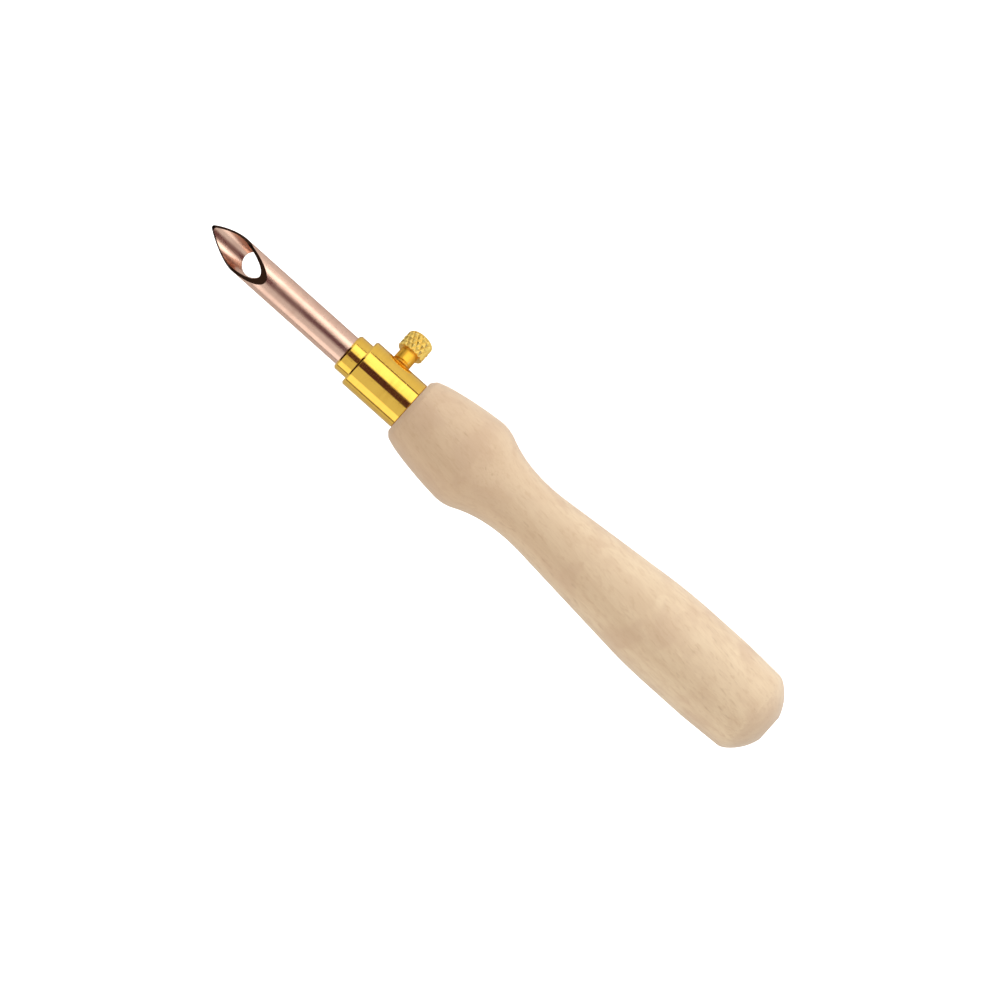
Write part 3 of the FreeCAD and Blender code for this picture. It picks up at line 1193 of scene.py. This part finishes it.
    def band_row(
        self, outer_row: Vector, outer: Vector, inner: Vector, inner_row: Vector
    ) -> tuple[Vector, ...]:
        """Points across the cut face at one column, for soft_band."""
        share = min(self.soft / (inner - outer).length, 0.4)
        return outer_row, outer, outer.lerp(inner, share), outer.lerp(inner, 1 - share), inner, inner_row

    def end_band(self, skin: Skin, angles: Sequence[float], first: list[int], last: list[int]) -> None:
        """Ground face of the bevel and of the flanks, between the outer and the inner surface.

        Args:
            skin: Where the points and faces go.
            angles: The tube's columns.
            first: Numbers of the outer surface's end row.
            last: Numbers of the inner surface's end row.
        """
        outer = [self.on_tube(angle, self.end_x(angle, self.outer), self.outer) for angle in angles]
        inner = [self.on_tube(angle, self.end_x(angle, self.inner), self.inner) for angle in angles]
        rows, normals = [], []
        for at, angle in enumerate(angles):
            after, before = (at + 1) % len(angles), at - 1
            along = outer[after] + inner[after] - outer[before] - inner[before]
            cut = along.cross(inner[at] - outer[at]).normalized()
            if cut.x > 0:
                cut.negate()
            rows.append(self.band_row(skin.points[first[at]], outer[at], inner[at], skin.points[last[at]]))
            normals.append((self.outward(angle), cut, -self.outward(angle)))
        self.soft_band(skin, rows, normals, first, last)

    def eye_band(self, skin: Skin, first: list[int], last: list[int]) -> None:
        """Round wall of the eye, between the outer and the inner surface.

        Args:
            skin: Where the points and faces go.
            first: Numbers of the outer surface's row round the eye.
            last: Numbers of the inner surface's row round the eye.
        """
        rows, normals = [], []
        for at in range(self.eye_points):
            turn = math.tau * at / self.eye_points
            x, y = self.eye_at + self.eye_radius * math.cos(turn), self.eye_radius * math.sin(turn)
            outer = Vector((x, y, -math.sqrt(self.outer**2 - y**2)))
            inner = Vector((x, y, -math.sqrt(self.inner**2 - y**2)))
            cut = Vector((-math.cos(turn), -math.sin(turn), 0))
            rows.append(self.band_row(skin.points[first[at]], outer, inner, skin.points[last[at]]))
            normals.append((skin.normals[first[at]], cut, skin.normals[last[at]]))
        self.soft_band(skin, rows, normals, first, last)

    def rear_tube(self, skin: Skin, angles: Sequence[float], outer: list[int], inner: list[int]) -> None:
        """Plain tube behind the pointed end, with its rear mouth chamfered.

        Args:
            skin: Where the points and faces go.
            angles: The tube's columns.
            outer: Numbers of the outer surface's last row.
            inner: Numbers of the inner surface's last row.
        """
        end, soft, mouth = self.length, self.soft, self.mouth_chamfer
        near, far = self.plain_rows
        profile = [
            (near, self.outer, (0, 1)),
            (far, self.outer, (0, 1)),
            (end - soft, self.outer, (0, 1)),
            (end - soft * 0.3, self.outer - soft * 0.3, (0.7, 0.7)),
            (end, self.outer - soft, (1, 0)),
            (end, (self.outer + self.inner) / 2, (1, 0)),
            (end - self.mouth_soft, self.inner + mouth - self.mouth_soft, (0.9, -0.4)),
            (end - mouth, self.inner, (0.4, -0.9)),
            (end - 2 * mouth, self.inner, (0, -1)),
            (far, self.inner, (0, -1)),
            (near, self.inner, (0, -1)),
        ]
        before = outer
        for x, radius, (forward, outward) in profile:
            points = [self.on_tube(angle, x, radius) for angle in angles]
            facing = [X_AXIS * forward + self.outward(angle) * outward for angle in angles]
            after = skin.loop(points, facing)
            skin.bridge(before, after)
            before = after
        skin.bridge(before, inner)

    def build(self, effects: SurfaceEffects) -> Piece:
        """Build the needle in place of its CAD node.

        Args:
            effects: The shared node groups.

        Returns:
            The needle.
        """
        skin = Skin()
        angles = self.angles()
        outer_end, outer_eye, outer_rear = self.point_surface(skin, angles, self.outer, 1.0)
        inner_end, inner_eye, inner_rear = self.point_surface(skin, angles, self.inner, -1.0)
        rim_start = len(skin.faces)
        self.end_band(skin, angles, outer_end, inner_end)
        rim_end = len(skin.faces)
        self.eye_band(skin, outer_eye, inner_eye)
        self.rear_tube(skin, angles, outer_rear, inner_rear)
        place = Matrix.Translation((-self.bare, 0, 0)) @ Matrix.Rotation(math.radians(self.turn), 4, "X")
        piece = skin.build("needle_tube", place, keep_normals=True)
        dress(piece, self.finish.material(effects))
        # The ground face takes the near-black colour of the painted dark reflection.
        piece.data.materials.append(self.rim_painted_dark_reflection.material(effects))
        for face in piece.data.polygons[rim_start:rim_end]:
            face.material_index = 1
        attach(piece, Body.NEEDLE.value)
        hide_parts("needle")
        return piece


@dataclass(frozen=True)
class ClampScrew:
    """Thumb screw with a diamond-knurled head. Its own frame has +Z out from the tool's axis."""

    from_nose: float = 9.7
    droop: float = SCREW_DROOP
    point_at: float = 3.47
    point_radius: float = 1.4
    shank_radius: float = 2.0
    thread_end: float = 6.0
    thread_pitch: float = 0.7
    thread_depth: float = 0.28
    thread_flank: float = 0.42
    thread_fade: float = 0.35
    head_seat: float = 8.4
    head_end: float = 12.7
    head_radius: float = 3.0
    seat_fillet: float = 0.12
    seat_chamfer: float = 0.25
    rim_round: float = 1.2
    face_rings: tuple[Pair, ...] = ((1.5, 0.0), (0.9, 0.0), (0.35, 0.03))
    face_dimple: float = 0.06
    knurl_count: int = 16
    knurl_pitch: float = 2.1
    knurl_depth: float = 0.3
    knurl_flat: float = 0.86
    columns: int = 192
    finish: MetalFinish = MetalFinish(
        name="knurled_brass",
        colour=(1.0, 0.74, 0.20),
        deep=(0.95, 0.48, 0.02),
        worn=(1.0, 0.86, 0.42),
        axis=(0.0, math.cos(math.radians(SCREW_DROOP)), -math.sin(math.radians(SCREW_DROOP))),
        clean_roughness=0.36,
        hazy_roughness=0.44,
        rings_per_metre=9000.0,
        ring_height=0.001,
        stretch=(1.0, 0.4, 0.4),
        scratch_height=0.002,
        deep_below=8.4,
    )

    @property
    def knurl_base(self) -> float:
        """Height below the head where the knurling's rows start, so that they are centred on the head."""
        rows = 2 * math.ceil((self.head_end - self.head_seat) / self.knurl_pitch / 2 + 1)
        return (self.head_seat + self.head_end) / 2 - rows * self.knurl_pitch / 4

    def knurl_radius(self, angle: float, height: float) -> float:
        """Radius of the diamond knurling at an angle and a height.

        Args:
            angle: Angle round the screw.
            height: Height along the screw.

        Returns:
            The radius.
        """
        across = angle / (math.pi / self.knurl_count)
        up = (height - self.knurl_base) / (self.knurl_pitch / 2)

        def from_ridge(value: float) -> float:
            """Distance from the nearest odd number."""
            return abs((value % 2) - 1)

        raised = 1 - max(from_ridge(across + up), from_ridge(across - up))
        return self.head_radius - self.knurl_depth * (1 - min(1.0, raised / self.knurl_flat))

    def rim_radius(self, height: float) -> float:
        """Largest radius that the head's chamfer and round rim leave at a height.

        Args:
            height: Height along the screw.

        Returns:
            The radius.
        """
        low = self.head_radius - self.seat_chamfer + (height - self.head_seat)
        over = max(height - (self.head_end - self.rim_round), 0.0)
        inner = self.head_radius - self.rim_round
        return min(low, inner + math.sqrt(max(self.rim_round**2 - over**2, 0.0)))

    def head_heights(self) -> list[float]:
        """Heights of the rows up the head.

        Returns:
            The heights from the seat to the flat face.
        """
        gap = self.knurl_pitch / 12
        rim = self.head_end - self.rim_round
        heights = [self.head_seat, self.head_seat + 0.12]
        at = self.knurl_base
        while at < rim - gap / 2:
            if at > self.head_seat + 0.2:
                heights.append(at)
            at += gap
        turns = [math.radians(6 * part) for part in range(15)]
        return heights + [rim + self.rim_round * math.sin(turn) for turn in turns]

    def thread_radius(self, angle: float, height: float) -> float:
        """Radius of the threaded stem, which runs out into the plain neck.

        Args:
            angle: Angle round the screw.
            height: Height along the screw.

        Returns:
            The radius.
        """
        wave = (height / self.thread_pitch - angle / math.tau) % 1.0
        valley = max(0.0, 1 - abs(wave - 0.5) / self.thread_flank)
        fade = min(1.0, max(0.0, (self.thread_end - height) / self.thread_fade))
        return self.shank_radius - self.thread_depth * valley * fade

    def ring(self, skin: Skin, height: float, radius: Callable[[float], float]) -> list[int]:
        """Add a closed row of points at a height, with a radius for each angle.

        Args:
            skin: Where the points go.
            height: Height along the screw.
            radius: Gives the radius at an angle.

        Returns:
            The numbers of the points.
        """
        angles = [math.tau * at / self.columns for at in range(self.columns)]
        points = [Vector((radius(a) * math.cos(a), radius(a) * math.sin(a), height)) for a in angles]
        return skin.loop(points, [Vector((math.cos(a), math.sin(a), 0)) for a in angles])

    def stem(self, skin: Skin) -> list[int]:
        """Point and stem, up to the underside of the head.

        Args:
            skin: Where the points and faces go.

        Returns:
            The numbers of the stem's last row.
        """
        tip = skin.add(Vector((0, 0, self.point_at)), -Z_AXIS)
        before = self.ring(skin, self.point_at, lambda angle: self.point_radius)
        for at in range(self.columns):
            skin.faces.append((tip, before[(at + 1) % self.columns], before[at]))
        threaded = self.thread_end - self.point_at
        rows = math.ceil(threaded / (self.thread_pitch / 8))
        for height in [self.point_at + threaded * row / rows for row in range(1, rows + 1)]:
            cone = self.point_radius + (height - self.point_at)
            after = self.ring(skin, height, lambda a, h=height, c=cone: min(c, self.thread_radius(a, h)))
            skin.bridge(before, after)
            before = after
        for below, grow in ((1.0, 0.0), (1 / 3, 1 / 3), (0.0, 1.0)):
            radius = self.shank_radius + self.seat_fillet * grow
            after = self.ring(skin, self.head_seat - self.seat_fillet * below, lambda angle, r=radius: r)
            skin.bridge(before, after)
            before = after
        return before

    def head(self, skin: Skin, neck: list[int]) -> None:
        """Knurled head on top of the stem.

        Args:
            skin: Where the points and faces go.
            neck: Numbers of the stem's last row.
        """
        before, last = neck, self.head_seat
        for height in self.head_heights():
            rim = self.rim_radius(height)
            after = self.ring(skin, height, lambda a, h=height, r=rim: min(self.knurl_radius(a, h), r))
            self.split_band(skin, before, after, height > last)
            before, last = after, height
        for radius, depth in self.face_rings:
            after = self.ring(skin, self.head_end - depth, lambda angle, r=radius: r)
            skin.bridge(before, after)
            before = after
        middle = skin.add(Vector((0, 0, self.head_end - self.face_dimple)), Z_AXIS)
        for at in range(self.columns):
            skin.faces.append((middle, before[at], before[(at + 1) % self.columns]))

    def split_band(self, skin: Skin, low: Sequence[int], high: Sequence[int], split: bool) -> None:
        """Fill a band with triangles whose shared edge follows the knurling, or with plain faces.

        Args:
            skin: Where the faces go.
            low: Numbers of the band's lower row.
            high: Numbers of its upper row.
            split: Use triangles.
        """
        if not split:
            skin.bridge(low, high)
            return
        for at in range(self.columns):
            after = (at + 1) % self.columns
            a, b, c, d = low[at], low[after], high[after], high[at]
            reach = [skin.points[corner].xy.length for corner in (a, b, c, d)]
            if abs(reach[0] - reach[2]) < abs(reach[1] - reach[3]):
                skin.face((a, b, c))
                skin.face((a, c, d))
            else:
                skin.face((a, b, d))
                skin.face((b, c, d))

    def build(self, effects: SurfaceEffects) -> Piece:
        """Build the clamp screw in place of its CAD node.

        Args:
            effects: The shared node groups.

        Returns:
            The clamp screw.
        """
        skin = Skin()
        self.head(skin, self.stem(skin))
        outward = Matrix.Rotation(math.radians(-90 - self.droop), 4, "X")
        place = Matrix.Translation((self.from_nose, 0, 0)) @ outward
        piece = skin.build("clamp_screw_turned", place, keep_normals=False)
        sharpen(piece, 18.0)
        dress(piece, self.finish.material(effects))
        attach(piece, Body.CLAMP_SCREW.value)
        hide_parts("clamp_screw")
        return piece


# Table, light and camera


@dataclass(frozen=True)
class Panel:
    """Flat lamp or card that faces the tool.

    It stands at an angle round the tool's axis, from the camera's direction towards the screw's side, and
    leans by another angle towards the side that the needle points to. Without a lean, its length runs along
    the tool. Lengths are in metres: opposite is the station on the axis that it faces, distance is how far it
    stands from there, and aside shifts it across the tool. Power and use are for lamps only. A card's colour
    is its tone in reflections.
    """

    name: str
    angle: float
    lean: float
    width: float
    length: float
    distance: float
    opposite: float
    colour: Colour
    power: float = 0.0
    use: LampUse = LampUse.MIRRORED
    aside: float = 0.0


@dataclass(frozen=True)
class Studio:
    """Pale floor, soft light and the photograph's viewing angle."""

    tilt: float = CAMERA_TILT
    picture_turn: float = 41.8
    picture_width: float = 200.2
    middle_right: float = 30.707
    middle_down: float = 29.905
    distance: float = 0.9
    lamps: tuple[Panel, ...] = (
        Panel("key_softbox", 40.0, 0.0, 0.40, 0.9, 0.5, 0.28, (1.0, 0.97, 0.93), 0.98),
        Panel("fill_softbox", -81.0, 0.0, 0.30, 0.9, 0.5, 0.28, (1.0, 0.97, 0.93), 0.46),
        Panel("needle_softbox", 57.0, 0.0, 0.30, 0.30, 0.5, -0.158, (1.0, 0.98, 0.95), 0.17),
        Panel("window_light", 63.0, -8.0, 0.14, 0.6, 0.6, 0.05, (0.88, 0.96, 1.06), 2.1, LampUse.MATT),
        Panel("wall_light", -74.0, 0.0, 0.20, 0.6, 0.6, 0.07, (1.0, 0.99, 0.96), 0.75, LampUse.MATT),
        Panel(
            "table_bounce",
            -CAMERA_TILT,
            0.0,
            0.30,
            0.7,
            -0.0098,
            0.05,
            (0.94, 0.98, 1.04),
            power=0.22,
            use=LampUse.MATT,
            aside=0.158,
        ),
    )
    cards: tuple[Panel, ...] = (
        Panel("ferrule_card", -0.5, 0.0, 0.19, 0.12, 0.38, 0.056, (0.075, 0.030, 0.075)),
        Panel("needle_card", 2.0, 0.0, 0.40, 0.20, 0.38, -0.105, (0.125, 0.036, 0.033)),
        Panel("white_paper", -CAMERA_TILT, 0.0, 0.16, 0.07, -0.0098, -0.045, (1.05, 1.02, 0.99), aside=0.12),
        Panel("point_card", 30.0, 90.0, 0.11, 0.11, 0.082, 0.0, (0.030, 0.012, 0.008)),
        Panel("near_strip", 66.0, 0.0, 0.045, 0.3, 0.48, 0.149, (0.08, 0.035, 0.02)),
        Panel("far_strip", -104.5, 0.0, 0.045, 0.5, 0.48, 0.05, (0.08, 0.035, 0.02)),
    )
    sky: Colour = (1.0, 0.99, 0.98)
    sky_strength: float = 0.7
    floor_half: float = 2.0
    floor_tone: Colour = (0.62, 0.60, 0.58)
    floor_cloud: Colour = (0.5, 0.49, 0.48)
    floor_glow: float = 1.2
    floor_bounce: float = 0.06

    def direction(self, angle: float) -> Vector:
        """Direction square to the tool's axis, at an angle from the camera's towards the screw's side."""
        turn = math.radians(self.tilt + angle)
        return Vector((0, math.sin(turn), math.cos(turn)))

    def stand(self, panel: Panel) -> Matrix:
        """Place of a lamp or card, with its face turned to the tool.

        Args:
            panel: The lamp or card.

        Returns:
            The matrix from its own frame to the part's frame.
        """
        lean = math.radians(panel.lean)
        up = self.direction(panel.angle)
        toward = up * math.cos(lean) - X_AXIS * math.sin(lean)
        side = X_AXIS * math.cos(lean) + up * math.sin(lean)
        across = toward.cross(side)
        turned = Matrix((side, across, toward)).transposed().to_4x4()
        middle = X_AXIS * panel.opposite + toward * panel.distance + across * panel.aside
        return Matrix.Translation(middle) @ turned

    @staticmethod
    def build_sheet(name: str, half_x: float, half_y: float, level: float) -> Piece:
        """Add a flat rectangle to the scene.

        Args:
            name: Name of the object and of its mesh.
            half_x: Half of its size along X.
            half_y: Half of its size along Y.
            level: Its height in its own frame.

        Returns:
            The new object.
        """
        low_side = [(-half_x, -half_y, level), (half_x, -half_y, level)]
        high_side = [(half_x, half_y, level), (-half_x, half_y, level)]
        mesh = bpy.data.meshes.new(name)
        mesh.from_pydata(low_side + high_side, [], [(0, 1, 2, 3)])
        sheet = bpy.data.objects.new(name, mesh)
        bpy.context.scene.collection.objects.link(sheet)
        return sheet

    def build_floor(self) -> None:
        """Add the pale floor under the part, which is brighter to the camera than to the part."""
        floor = self.build_sheet("floor", self.floor_half, self.floor_half, CAD_BOX[0][2])
        material, shader, principled, place = new_material("pale_table")
        seen = shader.node("ShaderNodeLightPath").outputs["Is Camera Ray"]
        cloud = shader.math("MULTIPLY", shader.noise(place, 9.0, 3.0), 0.1)
        toned = shader.blend(cloud, self.floor_tone, self.floor_cloud)
        glow = shader.math("MULTIPLY_ADD", seen, self.floor_glow - self.floor_bounce, self.floor_bounce)
        shader.feed(principled, Base_Color=toned, Roughness=0.85, Specular_IOR_Level=0.2)
        shader.feed(principled, Emission_Color=(1.0, 1.0, 1.0, 1.0), Emission_Strength=glow)
        dress(floor, material)

    def build_lamp(self, panel: Panel) -> None:
        """Add one lamp.

        Args:
            panel: The lamp's place, size, power and use.
        """
        lamp = bpy.data.lights.new(panel.name, "AREA")
        lamp.shape, lamp.size, lamp.size_y = "RECTANGLE", panel.length, panel.width
        lamp.energy, lamp.color = panel.power, panel.colour
        holder = bpy.data.objects.new(panel.name, lamp)
        holder.matrix_world = self.stand(panel)
        holder.visible_camera = False
        holder.visible_glossy = panel.use is LampUse.MIRRORED
        holder.visible_diffuse = panel.use is LampUse.MATT
        bpy.context.scene.collection.objects.link(holder)

    def build_card(self, panel: Panel) -> None:
        """Add one card, which only reflections show.

        Args:
            panel: The card's place, size and tone.
        """
        card = self.build_sheet(panel.name, panel.length / 2, panel.width / 2, 0.0)
        card.matrix_world = self.stand(panel)
        card.visible_camera = False
        card.visible_diffuse = False
        card.visible_shadow = False
        material, shader, principled, _ = new_material(panel.name)
        shader.feed(principled, Base_Color=(0.0, 0.0, 0.0, 1.0), Roughness=1.0, Specular_IOR_Level=0.0)
        shader.feed(principled, Emission_Color=(*panel.colour, 1.0), Emission_Strength=1.0)
        dress(card, material)

    def build_sky(self) -> None:
        """Add the even light from all round, and show colours as they are."""
        world = bpy.data.worlds.new("even_sky")
        world.use_nodes = True
        shader = Shader(world.node_tree)
        background = world.node_tree.nodes["Background"]
        seen = shader.node("ShaderNodeLightPath").outputs["Is Camera Ray"]
        strength = shader.math("MULTIPLY_ADD", seen, self.floor_glow - self.sky_strength, self.sky_strength)
        shader.feed(background, Color=(*self.sky, 1.0), Strength=strength)
        bpy.context.scene.world = world
        bpy.context.scene.view_settings.view_transform = "Standard"

    def build_camera(self) -> None:
        """Add the camera at the photograph's viewing angle."""
        toward = self.direction(0.0)
        aside = self.direction(90.0)
        turn = math.radians(self.picture_turn)
        right = X_AXIS * math.cos(turn) + aside * math.sin(turn)
        upward = aside * math.cos(turn) - X_AXIS * math.sin(turn)
        middle = (right * self.middle_right - upward * self.middle_down) * MM
        lens = bpy.data.cameras.new("camera")
        lens.type, lens.ortho_scale = "ORTHO", self.picture_width * MM
        lens.clip_start, lens.clip_end = 0.01, 10.0
        camera = bpy.data.objects.new("camera", lens)
        turned = Matrix((right, upward, toward)).transposed().to_4x4()
        camera.matrix_world = Matrix.Translation(middle + toward * self.distance) @ turned
        bpy.context.scene.collection.objects.link(camera)
        bpy.context.scene.camera = camera

    def build(self) -> None:
        """Build the floor, the lamps, the cards, the sky and the camera."""
        self.build_floor()
        for panel in self.lamps:
            self.build_lamp(panel)
        for panel in self.cards:
            self.build_card(panel)
        self.build_sky()
        self.build_camera()


def main() -> None:
    """Build every piece in order, then the studio, and report each piece."""
    logging.basicConfig(level=logging.INFO, format="%(name)s: %(message)s")
    effects = SurfaceEffects()
    pieces = [
        Handle().build(effects),
        Ferrule().dress(effects),
        Needle().build(effects),
        ClampScrew().build(effects),
    ]
    for piece in pieces:
        LOG.info("%s has %d faces", piece.name, len(piece.data.polygons))
    Studio().build()


if __name__ == "__main__":
    main()
